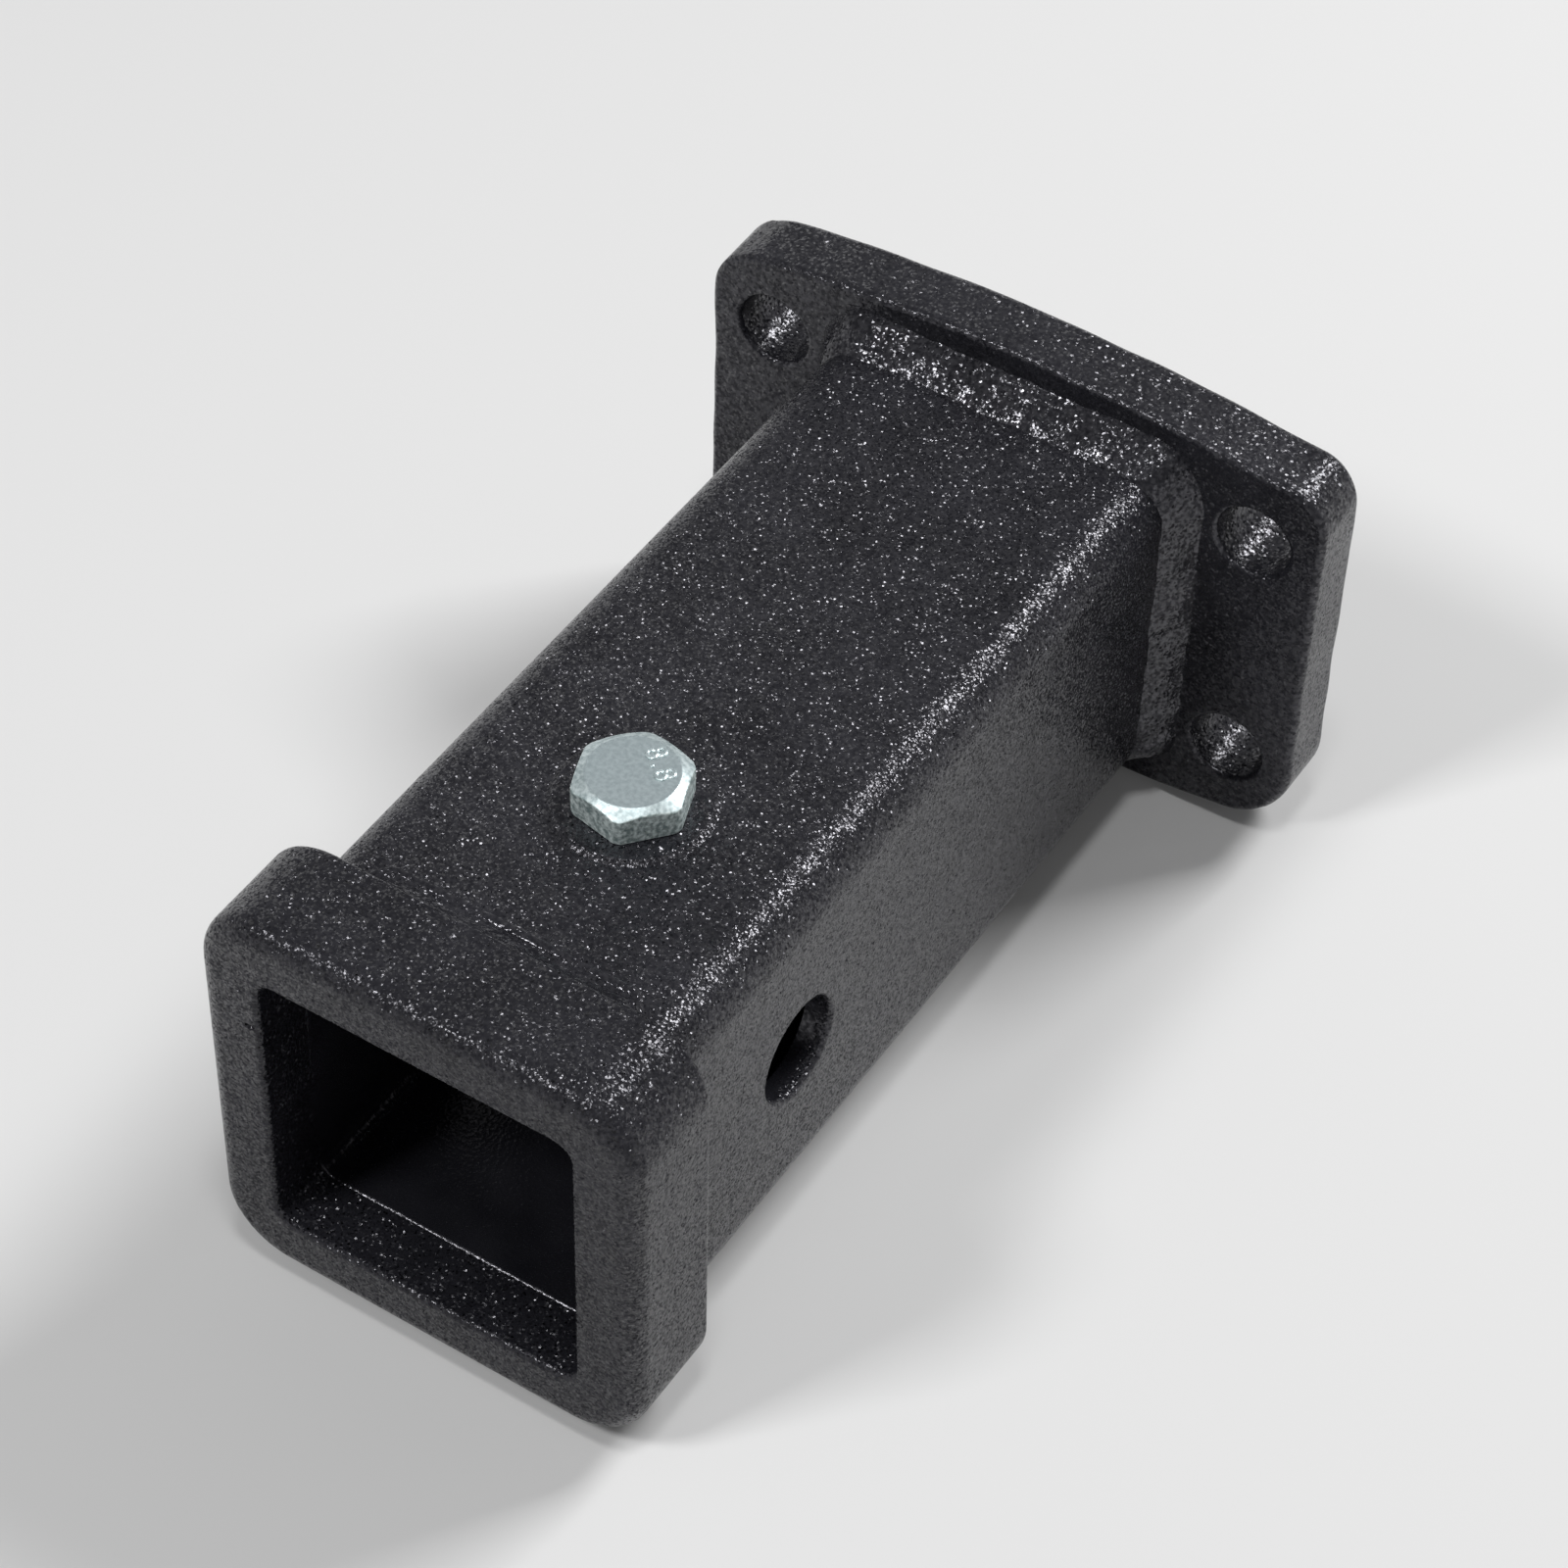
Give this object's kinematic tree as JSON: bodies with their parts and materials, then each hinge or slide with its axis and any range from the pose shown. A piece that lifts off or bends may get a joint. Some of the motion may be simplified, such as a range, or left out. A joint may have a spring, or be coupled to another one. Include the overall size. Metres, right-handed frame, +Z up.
{
  "type": "bolt-on receiver tube",
  "caption": "Square steel receiver tube for a two inch hitch bar, with a collar at its mouth, a clamp bolt, a cross pin hole and a bolt-on flange.",
  "frame": {"origin": "middle of the four bolt holes on the flange's back face", "axes": "+Y out of the flange's back, towards the vehicle, with the mouth looking along -Y; +Z up, towards the clamp bolt; +X to the right seen from the mouth"},
  "size_m": [0.109, 0.1667, 0.0778],
  "materials": {
    "powder_coat": "black textured powder coat on steel",
    "zinc_plate": "zinc plated steel"
  },
  "bodies": {
    "receiver": {"receiver_tube": "powder_coat", "collar": "powder_coat", "mounting_flange": "powder_coat", "flange_weld": "powder_coat", "collar_weld": "powder_coat"},
    "bolt": {"clamp_bolt": "zinc_plate"}
  },
  "joints": [
    {"name": "clamp_bolt_screw", "type": "slide", "parent": "receiver", "child": "bolt", "axis": [0, 0, 1], "range_m": [0, 0.0115]}
  ]
}
